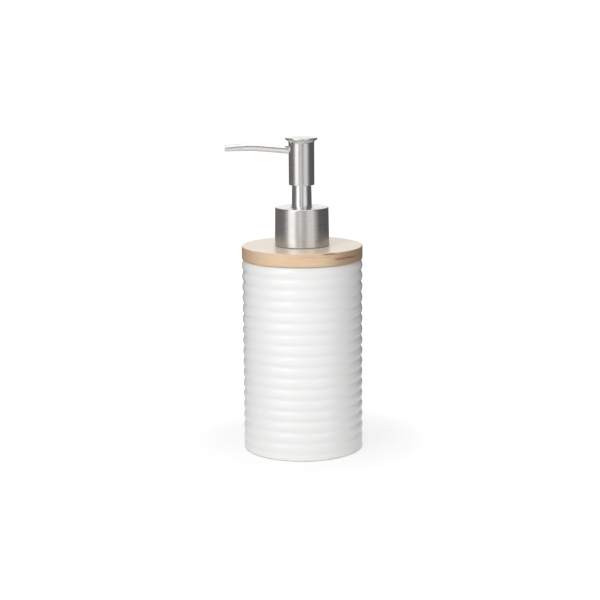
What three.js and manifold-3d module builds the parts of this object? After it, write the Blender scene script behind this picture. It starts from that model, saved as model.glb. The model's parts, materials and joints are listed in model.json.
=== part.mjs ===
// Soap pump dispenser: a ribbed ceramic bottle, a wooden plug lid and a steel-clad lotion pump.
// Millimetres, +Z up. The origin is the centre of the bottle's flat underside, on the axis that
// every turned piece shares. The spout points along -X.
import * as THREE from 'three';
import { mergeVertices } from 'three/addons/utils/BufferGeometryUtils.js';
import Module from 'manifold-3d';

const wasm = await Module();
wasm.setup();

// ---- driving dimensions ----------------------------------------------------------------------

// Sides of a full turn: the bottle and lid, the outside of the pump, and its inner pieces.
const BOTTLE_SIDES = 40;
const CLADDING_SIDES = 32;
const INNER_SIDES = 24;

// Gaps: between faces that rest on each other, between a piece and the socket that it is pressed
// or glued into, and round a piece that turns.
const SEAT_GAP = 0.05;
const SOCKET_GAP = 0.1;
const TURN_GAP = 0.3;

// Bottle
const BOTTLE_RADIUS = 36;
const BOTTLE_HEIGHT = 115.5;
const BOTTLE_INNER_RADIUS = 31.8;
const FLOOR_THICKNESS = 5;
const FLOOR_FILLET = 4;
const FOOT_FILLET = 0.5;
const RIB_COUNT = 17;
const RIB_PITCH = 6.54;
const RIB_DEPTH = 0.9;
const RIB_CREST_SHARE = 0.3;
const FIRST_VALLEY_Z = 3.75;
const FIRST_VALLEY_SHARE = 0.4;
const VALLEY_SHARE_STEP = 0.3;

// Wooden lid and its seal
const LID_THICKNESS = 8;
const LID_TOP = BOTTLE_HEIGHT + LID_THICKNESS;
const LID_HOLE_RADIUS = 13.2;
const PLUG_RADIUS = 30.4;
const PLUG_DEPTH = 6;
const GROOVE_RADIUS = 28.6;
const GROOVE_HEIGHT = 2.8;
const SEAL_RADIUS = 31.6;

// Threaded neck: the common 28 mm finish
const NECK_RADIUS = 12.5;
const NECK_BORE_RADIUS = 10.8;
const NECK_HEIGHT = 9.8;
const NECK_TOP = LID_TOP + NECK_HEIGHT;
const NECK_FLANGE_RADIUS = 17;
const NECK_FLANGE_THICKNESS = 1.5;
const THREAD_PITCH = 4.233;
const THREAD_SINK = 0.4;
const THREAD_Z = LID_TOP + 3.2;
const NECK_THREAD_RADIUS = 13.7;
const NECK_THREAD_FOOT = 2.4;
const NECK_THREAD_CREST = 0.9;
const NECK_THREAD_TURNS = 1.2;

// Closure: plastic cap in a steel shell
const COLLAR_BOTTOM = LID_TOP + TURN_GAP;
const COLLAR_TOP = 146.35;
const COLLAR_BOTTOM_RADIUS = 16.2;
const COLLAR_TOP_RADIUS = 15.85;
const COLLAR_WALL = 0.6;
const COLLAR_HOLE_RADIUS = 6.4;
const CAP_RADIUS = 15.0;
const CAP_BORE_RADIUS = 14.1;
const CAP_THREAD_RADIUS = 12.95;
const CAP_THREAD_FOOT = 2.2;
const CAP_THREAD_CREST = 0.8;
const CAP_THREAD_TURNS = 1;
const CAP_PLATE_THICKNESS = 2;
const CAP_HOLE_RADIUS = 9.2;
const CAP_RECESS_RADIUS = 13.2;

// Pump housing
const GASKET_THICKNESS = 1.1;
const FLANGE_RADIUS = 12.4;
const FLANGE_Z = NECK_TOP + GASKET_THICKNESS + 2 * SEAT_GAP;
const FLANGE_THICKNESS = 1.6;
const HOUSING_TOP = 140.9;
const HOUSING_NECK_RADIUS = 8.8;
const CYLINDER_RADIUS = 7.7;
const CYLINDER_BORE_RADIUS = 6.5;
const CYLINDER_FLOOR = 96.8;
const SOCKET_BOTTOM = 76.5;
const SOCKET_RADIUS = 4.4;
const INLET_SEAT_Z = 90.5;
const INLET_BORE_RADIUS = 1.5;
const INLET_BALL_RADIUS = 2.5;
const BALL_POCKET_RADIUS = 3;
const CAGE_RADIUS = 2.2;
const CAGE_THICKNESS = 0.8;
const CAGE_SLOT_WIDTH = 1.3;
const CAGE_SLOT_LENGTH = 8.4;

// Stem guide and the steel sleeve on it
const GUIDE_BOTTOM = 126.5;
const GUIDE_BORE_RADIUS = 4.2;
const GUIDE_DISC_RADIUS = 11;
const GUIDE_DISC_THICKNESS = 1.6;
const CHIMNEY_RADIUS = 5.1;
const CHIMNEY_TOP = 160.05;
const SLEEVE_TOP = 160.65;
const SLEEVE_FOOT_RADIUS = 5.97;
const SLEEVE_TOP_RADIUS = 5.7;
const SLEEVE_BORE_RADIUS = 5.25;

// Stem, piston and spring
const STROKE = 12.6;
const STEM_RADIUS = 4;
const STEM_BORE_RADIUS = 2.4;
const STEM_BOTTOM = 117.9;
const STEM_TOP = 177.85;
const SHOULDER_RADIUS = 5.4;
const SHOULDER_THICKNESS = 1;
const OUTLET_SEAT_Z = 170.45;
const OUTLET_BORE_RADIUS = 1.3;
const OUTLET_BALL_RADIUS = 2;
const OUTLET_POCKET_RADIUS = 2.6;
const PISTON_BOTTOM = 117.5;
const PISTON_HEIGHT = 7.4;
const PISTON_LIP_RADIUS = 6.42;
const PISTON_WAIST_RADIUS = 5.7;
const PISTON_BORE_RADIUS = 4.15;
const RETAINER_RADIUS = 4.7;
const RETAINER_BORE_RADIUS = 1.6;
const RETAINER_FLANGE_THICKNESS = 1.2;
const RETAINER_PLUG_LENGTH = 4;
const SPRING_RADIUS = 5.3;
const SPRING_WIRE_RADIUS = 0.45;
const SPRING_TURNS = 7;
const SPRING_FLAT_TURNS = 0.75;
const SPRING_FLAT_RISE = 2.1 * SPRING_WIRE_RADIUS;
const SPRING_STEPS_PER_TURN = 13;

// Dip tube
const DIP_TUBE_RADIUS = 3.2;
const DIP_TUBE_BORE_RADIUS = 2.4;
const DIP_TUBE_BOTTOM = 8;
const DIP_TUBE_SLANT = 0.6;

// Head
const HEAD_BOTTOM = 159.45;
const HEAD_RADIUS = 7.6;
const HEAD_BORE_RADIUS = 6.9;
const HEAD_SHELL_TOP = 184.25;
const CORE_BOTTOM = SLEEVE_TOP + STROKE + 0.4;
const CORE_TOP = 183.25;
const CORE_RADIUS = 6.7;
const CORE_PASSAGE_RADIUS = 1.7;
const CORE_PASSAGE_TOP = 181.45;
const CAP_RIM_RADIUS = 9.5;
const CAP_RIM_BOTTOM = 186.35;
const HEAD_TOP = 187.3;

// The cap's trumpet between the shell and the rim: shares of its flare and of its height.
const TRUMPET = [[0.18, 0.4], [0.5, 0.75]];

// Spout: distances run out from the axis
const SPOUT_ROOT = 4.7;
const SPOUT_BEND = 30;
const SPOUT_TIP = 45.2;
const SPOUT_BEND_Z = 181.85;
const SPOUT_RISE = 0.09;
const SPOUT_FALL = 0.055;
const SPOUT_BEND_LENGTH = 8;
const SPOUT_ROOT_RADIUS = 2.3;
const SPOUT_BEND_RADIUS = 2.2;
const SPOUT_TIP_RADIUS = 1.8;
const SPOUT_WALL = 0.5;
const SPOUT_PASSAGE_RADIUS = 1.5;

// ---- materials -------------------------------------------------------------------------------

function material(color, roughness, metalness = 0) {
  return new THREE.MeshStandardMaterial({ color, roughness, metalness });
}

const glaze = material(0xf2f2f0, 0.15);
const lightWood = material(0xe2c6a0, 0.55);
const silicone = material(0xe6e6e2, 0.6);
const whitePlastic = material(0xf0f0ee, 0.4);
const naturalPlastic = material(0xe4e8e8, 0.3);
const softPlastic = material(0xe8e9e4, 0.45);
const brushedSteel = material(0xb4b3b0, 0.35, 1);
const polishedSteel = material(0xc8c6c4, 0.15, 1);

// ---- helpers ---------------------------------------------------------------------------------

// A turned body about Z. The outline holds [radius, z] points with the material on its left: it
// starts and ends on the axis, or it is closed here when it starts off the axis.
function turned(outline, sides) {
  const points = outline.map(([radius, z]) => new THREE.Vector2(radius, z));
  if (outline[0][0] > 0) points.push(points[0].clone());
  return new THREE.LatheGeometry(points, sides).rotateX(Math.PI / 2);
}

// Points on a circular arc in the [radius, z] plane, both ends included; angles in degrees.
function arc(centreRadius, centreZ, radius, fromAngle, toAngle, steps) {
  return Array.from({ length: steps + 1 }, (_, step) => {
    const angle = THREE.MathUtils.degToRad(THREE.MathUtils.lerp(fromAngle, toAngle, step / steps));
    return [centreRadius + radius * Math.cos(angle), centreZ + radius * Math.sin(angle)];
  });
}

// A plain tube about Z with square ends.
function tube(outerRadius, innerRadius, bottom, top, sides) {
  return turned([[outerRadius, bottom], [outerRadius, top], [innerRadius, top],
    [innerRadius, bottom]], sides);
}

// A closed geometry as a manifold-3d solid.
function solid(geometry) {
  const bare = geometry.clone().deleteAttribute('normal').deleteAttribute('uv');
  const merged = mergeVertices(bare, 1e-4);
  return new wasm.Manifold(new wasm.Mesh({
    numProp: 3,
    vertProperties: new Float32Array(merged.attributes.position.array),
    triVerts: new Uint32Array(merged.index.array),
  }));
}

// A manifold-3d solid as a three.js geometry.
function fromSolid(body) {
  const mesh = body.getMesh();
  const geometry = new THREE.BufferGeometry();
  geometry.setAttribute('position', new THREE.BufferAttribute(mesh.vertProperties, 3));
  geometry.setIndex(new THREE.BufferAttribute(mesh.triVerts, 1));
  geometry.computeVertexNormals();
  return geometry;
}

function cut(geometry, ...tools) {
  return fromSolid(tools.reduce((body, tool) => body.subtract(solid(tool)), solid(geometry)));
}

function joined(geometry, addition) {
  return fromSolid(solid(geometry).add(solid(addition)));
}

// A right-handed helical thread ridge. It starts at THREAD_Z, the given part of a turn round from
// +X. Its foot lies inside the wall at footRadius, its crest is at crestRadius, and it fades into
// the wall over the first and last eighth of a turn.
function threadRidge(footRadius, crestRadius, footWidth, crestWidth, startTurn, turns) {
  const stepsPerTurn = INNER_SIDES;
  const steps = Math.round(turns * stepsPerTurn);
  const fadeSteps = stepsPerTurn / 8;
  const positions = [];
  for (let step = 0; step <= steps; step += 1) {
    const angle = (startTurn + step / stepsPerTurn) * 2 * Math.PI;
    const z = THREAD_Z + (step / stepsPerTurn) * THREAD_PITCH;
    const fade = Math.min(1, (Math.min(step, steps - step) + 1) / fadeSteps);
    const tipRadius = THREE.MathUtils.lerp(footRadius, crestRadius, fade);
    const section = [[footRadius, -footWidth / 2], [tipRadius, -crestWidth / 2],
      [tipRadius, crestWidth / 2], [footRadius, footWidth / 2]];
    for (const [radius, offset] of section) {
      positions.push(radius * Math.cos(angle), radius * Math.sin(angle), z + offset);
    }
  }
  const faces = [[0, 1, 2], [0, 2, 3]];
  for (let step = 0; step < steps; step += 1) {
    for (let corner = 0; corner < 4; corner += 1) {
      const here = step * 4 + corner;
      const beside = step * 4 + (corner + 1) % 4;
      faces.push([here, here + 4, beside], [beside, here + 4, beside + 4]);
    }
  }
  const last = steps * 4;
  faces.push([last, last + 2, last + 1], [last, last + 3, last + 2]);
  const outward = crestRadius > footRadius;
  const geometry = new THREE.BufferGeometry();
  geometry.setAttribute('position', new THREE.Float32BufferAttribute(positions, 3));
  geometry.setIndex(faces.flatMap(([a, b, c]) => (outward ? [a, b, c] : [a, c, b])));
  return geometry;
}

// ---- bottle and lid --------------------------------------------------------------------------

// The ribs' faceted outline: flat crests and sharp valleys. The valleys grow shallow at the foot.
function ribOutline() {
  const outline = [];
  for (let rib = 0; rib < RIB_COUNT; rib += 1) {
    const valleyZ = FIRST_VALLEY_Z + rib * RIB_PITCH;
    const depth = RIB_DEPTH * Math.min(1, FIRST_VALLEY_SHARE + VALLEY_SHARE_STEP * rib);
    const crestZ = valleyZ + RIB_PITCH / 2;
    const halfCrest = (RIB_CREST_SHARE * RIB_PITCH) / 2;
    outline.push([BOTTLE_RADIUS - depth, valleyZ]);
    outline.push([BOTTLE_RADIUS, crestZ - halfCrest]);
    outline.push([BOTTLE_RADIUS, crestZ + halfCrest]);
  }
  return outline;
}

function ceramicBottle() {
  const lipFillet = 0.8;
  const footCentre = BOTTLE_RADIUS - FOOT_FILLET;
  const floorCentre = BOTTLE_INNER_RADIUS - FLOOR_FILLET;
  return turned([
    [0, 0],
    ...arc(footCentre, FOOT_FILLET, FOOT_FILLET, -90, 0, 3),
    ...ribOutline(),
    [BOTTLE_RADIUS - RIB_DEPTH, BOTTLE_HEIGHT - lipFillet],
    [BOTTLE_RADIUS - RIB_DEPTH - lipFillet, BOTTLE_HEIGHT],
    [BOTTLE_INNER_RADIUS + lipFillet, BOTTLE_HEIGHT],
    [BOTTLE_INNER_RADIUS, BOTTLE_HEIGHT - lipFillet],
    ...arc(floorCentre, FLOOR_THICKNESS + FLOOR_FILLET, FLOOR_FILLET, 0, -90, 3),
    [0, FLOOR_THICKNESS],
  ], BOTTLE_SIDES);
}

// A disc on the rim, and below it a grooved plug that sits in the bottle's mouth.
function woodenLid() {
  const plugBottom = BOTTLE_HEIGHT - PLUG_DEPTH;
  const grooveBottom = plugBottom + (PLUG_DEPTH - GROOVE_HEIGHT) / 2;
  const bevel = 0.7;
  return turned([
    [LID_HOLE_RADIUS, plugBottom],
    [PLUG_RADIUS, plugBottom],
    [PLUG_RADIUS, grooveBottom],
    [GROOVE_RADIUS, grooveBottom],
    [GROOVE_RADIUS, grooveBottom + GROOVE_HEIGHT],
    [PLUG_RADIUS, grooveBottom + GROOVE_HEIGHT],
    [PLUG_RADIUS, BOTTLE_HEIGHT + SEAT_GAP],
    [BOTTLE_RADIUS - bevel, BOTTLE_HEIGHT + SEAT_GAP],
    [BOTTLE_RADIUS, BOTTLE_HEIGHT + bevel],
    [BOTTLE_RADIUS, LID_TOP - bevel / 3],
    [BOTTLE_RADIUS - bevel / 3, LID_TOP],
    [LID_HOLE_RADIUS, LID_TOP],
  ], BOTTLE_SIDES);
}

// Two flexible lips on a flat band that lies in the plug's groove.
function lidSealRing() {
  const fitGap = 0.15;
  const bandRadius = GROOVE_RADIUS + fitGap;
  const middle = BOTTLE_HEIGHT - PLUG_DEPTH / 2;
  const bottom = middle - GROOVE_HEIGHT / 2 + fitGap;
  const top = middle + GROOVE_HEIGHT / 2 - fitGap;
  const waist = PLUG_RADIUS + 0.2;
  const halfWaist = 0.1;
  return turned([
    [bandRadius, bottom],
    [waist, bottom],
    [SEAL_RADIUS, bottom + 0.5],
    [waist, middle - halfWaist],
    [waist, middle + halfWaist],
    [SEAL_RADIUS, top - 0.55],
    [waist, top],
    [bandRadius, top],
  ], BOTTLE_SIDES);
}

// The threaded neck runs through the lid and is held by a flange under the plug.
function neckInsert() {
  const plugBottom = BOTTLE_HEIGHT - PLUG_DEPTH - SEAT_GAP;
  const gluedRadius = LID_HOLE_RADIUS - 2 * SOCKET_GAP;
  const body = turned([
    [NECK_BORE_RADIUS, plugBottom - NECK_FLANGE_THICKNESS],
    [NECK_FLANGE_RADIUS, plugBottom - NECK_FLANGE_THICKNESS],
    [NECK_FLANGE_RADIUS, plugBottom],
    [gluedRadius, plugBottom],
    [gluedRadius, LID_TOP],
    [NECK_RADIUS, LID_TOP],
    [NECK_RADIUS, NECK_TOP],
    [NECK_BORE_RADIUS, NECK_TOP],
  ], INNER_SIDES);
  const ridge = threadRidge(NECK_RADIUS - THREAD_SINK, NECK_THREAD_RADIUS, NECK_THREAD_FOOT,
    NECK_THREAD_CREST, 0, NECK_THREAD_TURNS);
  return joined(body, ridge);
}

// ---- closure ---------------------------------------------------------------------------------

// The steel shell: a tapered drawn cup, open below, with a hole in its top for the sleeve.
function closureShell() {
  const edge = 0.5;
  const innerTop = COLLAR_TOP - COLLAR_WALL;
  return turned([
    [COLLAR_BOTTOM_RADIUS - COLLAR_WALL, COLLAR_BOTTOM],
    [COLLAR_BOTTOM_RADIUS, COLLAR_BOTTOM],
    [COLLAR_TOP_RADIUS, COLLAR_TOP - edge],
    [COLLAR_TOP_RADIUS - edge, COLLAR_TOP],
    [COLLAR_HOLE_RADIUS, COLLAR_TOP],
    [COLLAR_HOLE_RADIUS, innerTop],
    [COLLAR_TOP_RADIUS - COLLAR_WALL, innerTop],
  ], CLADDING_SIDES);
}

// The threaded cap: a plate that clamps the housing's flange, a threaded skirt below it and a
// plain wall above it that carries the shell. Its thread starts half a turn after the neck's at
// the same height, so it lies half a pitch below the neck's thread and pulls up against it.
function closureCap() {
  const bottom = COLLAR_BOTTOM + COLLAR_WALL;
  const top = COLLAR_TOP - COLLAR_WALL - SEAT_GAP;
  const plateBottom = FLANGE_Z + FLANGE_THICKNESS + TURN_GAP;
  const plateTop = plateBottom + CAP_PLATE_THICKNESS;
  const body = turned([
    [CAP_BORE_RADIUS, bottom],
    [CAP_RADIUS, bottom],
    [CAP_RADIUS, top],
    [CAP_RECESS_RADIUS, top],
    [CAP_RECESS_RADIUS, plateTop],
    [CAP_HOLE_RADIUS, plateTop],
    [CAP_HOLE_RADIUS, plateBottom],
    [CAP_BORE_RADIUS, plateBottom],
  ], INNER_SIDES);
  const startTurn = 0.5;
  const ridge = threadRidge(CAP_BORE_RADIUS + THREAD_SINK, CAP_THREAD_RADIUS, CAP_THREAD_FOOT,
    CAP_THREAD_CREST, startTurn, CAP_THREAD_TURNS);
  return joined(body, ridge);
}

function closureGasket() {
  const bottom = NECK_TOP + SEAT_GAP;
  const boreRadius = NECK_BORE_RADIUS + 2 * SOCKET_GAP;
  return tube(FLANGE_RADIUS, boreRadius, bottom, bottom + GASKET_THICKNESS, INNER_SIDES);
}

// ---- pump ------------------------------------------------------------------------------------

// The cylinder hangs from its flange. Its foot holds the inlet ball on a cone, under a cage that
// is slotted across so that soap passes while the ball is up, and below that is the tube's socket.
function pumpHousing() {
  const socketTop = INLET_SEAT_Z - INLET_BORE_RADIUS;
  const coneTop = INLET_SEAT_Z + BALL_POCKET_RADIUS - INLET_BORE_RADIUS;
  const cageBottom = CYLINDER_FLOOR - CAGE_THICKNESS;
  const body = turned([
    [DIP_TUBE_RADIUS + SOCKET_GAP, SOCKET_BOTTOM],
    [SOCKET_RADIUS, SOCKET_BOTTOM],
    [SOCKET_RADIUS, coneTop],
    [CYLINDER_RADIUS, CYLINDER_FLOOR - 1],
    [CYLINDER_RADIUS, GUIDE_BOTTOM],
    [HOUSING_NECK_RADIUS, GUIDE_BOTTOM + 1],
    [HOUSING_NECK_RADIUS, FLANGE_Z],
    [FLANGE_RADIUS, FLANGE_Z],
    [FLANGE_RADIUS, FLANGE_Z + FLANGE_THICKNESS],
    [HOUSING_NECK_RADIUS, FLANGE_Z + FLANGE_THICKNESS],
    [HOUSING_NECK_RADIUS, HOUSING_TOP],
    [CYLINDER_BORE_RADIUS, HOUSING_TOP],
    [CYLINDER_BORE_RADIUS, CYLINDER_FLOOR],
    [CAGE_RADIUS, CYLINDER_FLOOR],
    [CAGE_RADIUS, cageBottom],
    [BALL_POCKET_RADIUS, cageBottom],
    [BALL_POCKET_RADIUS, coneTop],
    [INLET_BORE_RADIUS, INLET_SEAT_Z],
    [INLET_BORE_RADIUS, socketTop],
    [DIP_TUBE_RADIUS + SOCKET_GAP, socketTop],
  ], INNER_SIDES);
  const slot = new THREE.BoxGeometry(CAGE_SLOT_LENGTH, CAGE_SLOT_WIDTH, 2.5 * CAGE_THICKNESS);
  slot.translate(0, 0, cageBottom);
  return cut(body, slot, slot.clone().rotateZ(Math.PI / 2));
}

function stemGuide() {
  const discBottom = HOUSING_TOP + SEAT_GAP;
  const discTop = discBottom + GUIDE_DISC_THICKNESS;
  const plugRadius = CYLINDER_BORE_RADIUS - SOCKET_GAP - SEAT_GAP;
  return turned([
    [GUIDE_BORE_RADIUS, GUIDE_BOTTOM],
    [plugRadius, GUIDE_BOTTOM],
    [plugRadius, discBottom],
    [GUIDE_DISC_RADIUS, discBottom],
    [GUIDE_DISC_RADIUS, discTop],
    [CHIMNEY_RADIUS, discTop],
    [CHIMNEY_RADIUS, CHIMNEY_TOP],
    [GUIDE_BORE_RADIUS, CHIMNEY_TOP],
  ], INNER_SIDES);
}

function stemSleeve() {
  const bottom = HOUSING_TOP + GUIDE_DISC_THICKNESS + 2 * SEAT_GAP;
  return turned([
    [SLEEVE_BORE_RADIUS, bottom],
    [SLEEVE_FOOT_RADIUS, bottom],
    [SLEEVE_FOOT_RADIUS, COLLAR_TOP],
    [SLEEVE_TOP_RADIUS, SLEEVE_TOP],
    [SLEEVE_BORE_RADIUS, SLEEVE_TOP],
  ], CLADDING_SIDES);
}

// The tube's lower end is cut on a slant, so that it can't seal against the bottle's floor.
function dipTube() {
  const top = INLET_SEAT_Z - INLET_BORE_RADIUS - 2 * SEAT_GAP;
  const geometry = tube(DIP_TUBE_RADIUS, DIP_TUBE_BORE_RADIUS, DIP_TUBE_BOTTOM, top, INNER_SIDES);
  const position = geometry.attributes.position;
  for (let index = 0; index < position.count; index += 1) {
    if (position.getZ(index) < top - 1) {
      const lift = DIP_TUBE_SLANT * (DIP_TUBE_RADIUS + position.getX(index));
      position.setZ(index, DIP_TUBE_BOTTOM + lift);
    }
  }
  return geometry;
}

// Both lips face out to the cylinder and the waist between them is clear of it.
function piston() {
  const top = PISTON_BOTTOM + PISTON_HEIGHT;
  const lip = 1;
  const slope = 1.2;
  return turned([
    [PISTON_BORE_RADIUS, PISTON_BOTTOM],
    [PISTON_LIP_RADIUS, PISTON_BOTTOM],
    [PISTON_LIP_RADIUS, PISTON_BOTTOM + lip],
    [PISTON_WAIST_RADIUS, PISTON_BOTTOM + lip + slope],
    [PISTON_WAIST_RADIUS, top - lip - slope],
    [PISTON_LIP_RADIUS, top - lip],
    [PISTON_LIP_RADIUS, top],
    [PISTON_BORE_RADIUS, top],
  ], INNER_SIDES);
}

// The stem: a shoulder pushes the piston down, and a ball pocket in its top is the outlet valve.
function stem() {
  const shoulderBottom = PISTON_BOTTOM + PISTON_HEIGHT + 2 * SEAT_GAP;
  const coneTop = OUTLET_SEAT_Z + OUTLET_POCKET_RADIUS - OUTLET_BORE_RADIUS;
  return turned([
    [STEM_BORE_RADIUS, STEM_BOTTOM],
    [STEM_RADIUS, STEM_BOTTOM],
    [STEM_RADIUS, shoulderBottom],
    [SHOULDER_RADIUS, shoulderBottom],
    [SHOULDER_RADIUS, shoulderBottom + SHOULDER_THICKNESS],
    [STEM_RADIUS, shoulderBottom + SHOULDER_THICKNESS],
    [STEM_RADIUS, STEM_TOP],
    [OUTLET_POCKET_RADIUS, STEM_TOP],
    [OUTLET_POCKET_RADIUS, coneTop],
    [OUTLET_BORE_RADIUS, OUTLET_SEAT_Z],
    [OUTLET_BORE_RADIUS, OUTLET_SEAT_Z - 1],
    [STEM_BORE_RADIUS, OUTLET_SEAT_Z - 2],
  ], INNER_SIDES);
}

// A flanged bush pressed into the stem's lower end, which keeps the piston on it.
function pistonRetainer() {
  const flangeTop = PISTON_BOTTOM - 2 * SEAT_GAP;
  const flangeBottom = flangeTop - RETAINER_FLANGE_THICKNESS;
  const plugRadius = STEM_BORE_RADIUS - SOCKET_GAP;
  const plugTop = flangeTop + RETAINER_PLUG_LENGTH;
  return turned([
    [RETAINER_BORE_RADIUS, flangeBottom],
    [RETAINER_RADIUS, flangeBottom],
    [RETAINER_RADIUS, flangeTop],
    [plugRadius, flangeTop],
    [plugRadius, plugTop],
    [RETAINER_BORE_RADIUS, plugTop],
  ], INNER_SIDES);
}

// The spring's centre line. Its end coils lie nearly flat.
class SpringCurve extends THREE.Curve {
  constructor(bottom, top) {
    super();
    this.bottom = bottom;
    this.height = top - bottom;
  }

  getPoint(t, target = new THREE.Vector3()) {
    const angle = t * SPRING_TURNS * 2 * Math.PI;
    const flatShare = SPRING_FLAT_TURNS / SPRING_TURNS;
    const rise = THREE.MathUtils.clamp((t - flatShare) / (1 - 2 * flatShare), 0, 1);
    const flatRise = SPRING_FLAT_RISE / this.height;
    const flatPart = Math.min(t, flatShare) + Math.max(0, t - 1 + flatShare);
    const share = (1 - 2 * flatRise) * rise + flatRise * (flatPart / flatShare);
    return target.set(SPRING_RADIUS * Math.cos(angle), SPRING_RADIUS * Math.sin(angle),
      this.bottom + this.height * share);
  }
}

function returnSpring() {
  const bottom = CYLINDER_FLOOR + SEAT_GAP + SPRING_WIRE_RADIUS;
  const top = PISTON_BOTTOM - SEAT_GAP - SPRING_WIRE_RADIUS;
  const wire = new THREE.Shape(arc(0, 0, SPRING_WIRE_RADIUS, 0, 300, 5)
    .map(([x, y]) => new THREE.Vector2(x, y)));
  return new THREE.ExtrudeGeometry(wire, {
    extrudePath: new SpringCurve(bottom, top),
    steps: SPRING_STEPS_PER_TURN * SPRING_TURNS,
  });
}

// A ball resting on a 45 degree seat whose bore has the given radius.
function valveBall(radius, boreRadius, seatZ) {
  const centreZ = seatZ - boreRadius + radius * Math.SQRT2 + SEAT_GAP;
  return new THREE.SphereGeometry(radius, 16, 10).rotateX(Math.PI / 2).translate(0, 0, centreZ);
}

// ---- head ------------------------------------------------------------------------------------

// Height of the spout's centre line at a distance from the axis: it rises to the bend and then
// falls a little, with a rounded crown between.
function spoutHeight(distance) {
  const past = distance - SPOUT_BEND;
  const crown = SPOUT_BEND_LENGTH / 2;
  const slope = (SPOUT_RISE + SPOUT_FALL) / 2;
  const corner = Math.sqrt(past * past + crown * crown) - crown;
  return SPOUT_BEND_Z - slope * corner + ((SPOUT_RISE - SPOUT_FALL) / 2) * past;
}

// Lays a body that was turned about Z along the spout's centre line: z becomes distance.
function alongSpout(geometry) {
  geometry.rotateY(-Math.PI / 2);
  const position = geometry.attributes.position;
  for (let index = 0; index < position.count; index += 1) {
    position.setZ(index, position.getZ(index) + spoutHeight(-position.getX(index)));
  }
  return geometry;
}

// A round tube, a little slimmer at its bend than at its root, that tapers to its tip.
function spoutTube() {
  const taperStart = SPOUT_BEND + SPOUT_BEND_LENGTH / 2;
  const outer = [
    [SPOUT_ROOT_RADIUS, SPOUT_ROOT],
    [SPOUT_ROOT_RADIUS, HEAD_RADIUS],
    [SPOUT_BEND_RADIUS, SPOUT_BEND - 2 * SPOUT_BEND_LENGTH],
    [SPOUT_BEND_RADIUS, SPOUT_BEND - SPOUT_BEND_LENGTH / 2],
    [SPOUT_BEND_RADIUS, SPOUT_BEND - SPOUT_BEND_LENGTH / 4],
    [SPOUT_BEND_RADIUS, SPOUT_BEND],
    [SPOUT_BEND_RADIUS, SPOUT_BEND + SPOUT_BEND_LENGTH / 4],
    [SPOUT_BEND_RADIUS, taperStart],
    [SPOUT_TIP_RADIUS, SPOUT_TIP],
  ];
  const inner = outer.map(([radius, distance]) => [radius - SPOUT_WALL, distance]).reverse();
  return alongSpout(turned([...outer, ...inner], INNER_SIDES / 2));
}

// The hole that the spout's root passes through, and the narrower passage on to the axis.
function spoutBore() {
  const holeRadius = SPOUT_ROOT_RADIUS + SOCKET_GAP + SEAT_GAP;
  const holeStart = SPOUT_ROOT - 2 * SOCKET_GAP;
  const holeEnd = HEAD_RADIUS + 2;
  return alongSpout(turned([
    [0, 0],
    [SPOUT_PASSAGE_RADIUS, 0],
    [SPOUT_PASSAGE_RADIUS, holeStart],
    [holeRadius, holeStart],
    [holeRadius, holeEnd],
    [0, holeEnd],
  ], INNER_SIDES / 2));
}

function headCore() {
  const socketTop = STEM_TOP + 2 * SEAT_GAP;
  const socketRadius = STEM_RADIUS + SOCKET_GAP;
  const body = turned([
    [0, CORE_PASSAGE_TOP],
    [CORE_PASSAGE_RADIUS, CORE_PASSAGE_TOP],
    [CORE_PASSAGE_RADIUS, socketTop],
    [socketRadius, socketTop],
    [socketRadius, CORE_BOTTOM],
    [CORE_RADIUS, CORE_BOTTOM],
    [CORE_RADIUS, CORE_TOP],
    [0, CORE_TOP],
  ], INNER_SIDES);
  return cut(body, spoutBore());
}

function headShell() {
  const edge = 0.5;
  const body = turned([
    [HEAD_BORE_RADIUS, HEAD_BOTTOM],
    [HEAD_RADIUS - edge, HEAD_BOTTOM],
    [HEAD_RADIUS, HEAD_BOTTOM + edge],
    [HEAD_RADIUS, HEAD_SHELL_TOP],
    [HEAD_BORE_RADIUS, HEAD_SHELL_TOP],
  ], CLADDING_SIDES);
  return cut(body, spoutBore());
}

// The thumb rest: a plug in the shell's top and a trumpet that opens to a thin round rim.
function headCap() {
  const seat = HEAD_SHELL_TOP + SEAT_GAP;
  const flare = CAP_RIM_RADIUS - HEAD_RADIUS;
  const flareHeight = CAP_RIM_BOTTOM - seat;
  const plugRadius = HEAD_BORE_RADIUS - SOCKET_GAP;
  const edge = 0.3;
  return turned([
    [0, CORE_TOP + SEAT_GAP],
    [plugRadius, CORE_TOP + SEAT_GAP],
    [plugRadius, seat],
    [HEAD_RADIUS, seat],
    ...TRUMPET.map(([out, up]) => [HEAD_RADIUS + out * flare, seat + up * flareHeight]),
    [CAP_RIM_RADIUS, CAP_RIM_BOTTOM],
    [CAP_RIM_RADIUS, HEAD_TOP - edge],
    [CAP_RIM_RADIUS - edge, HEAD_TOP],
    [0, HEAD_TOP],
  ], CLADDING_SIDES);
}

// ---- assembly --------------------------------------------------------------------------------

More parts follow.
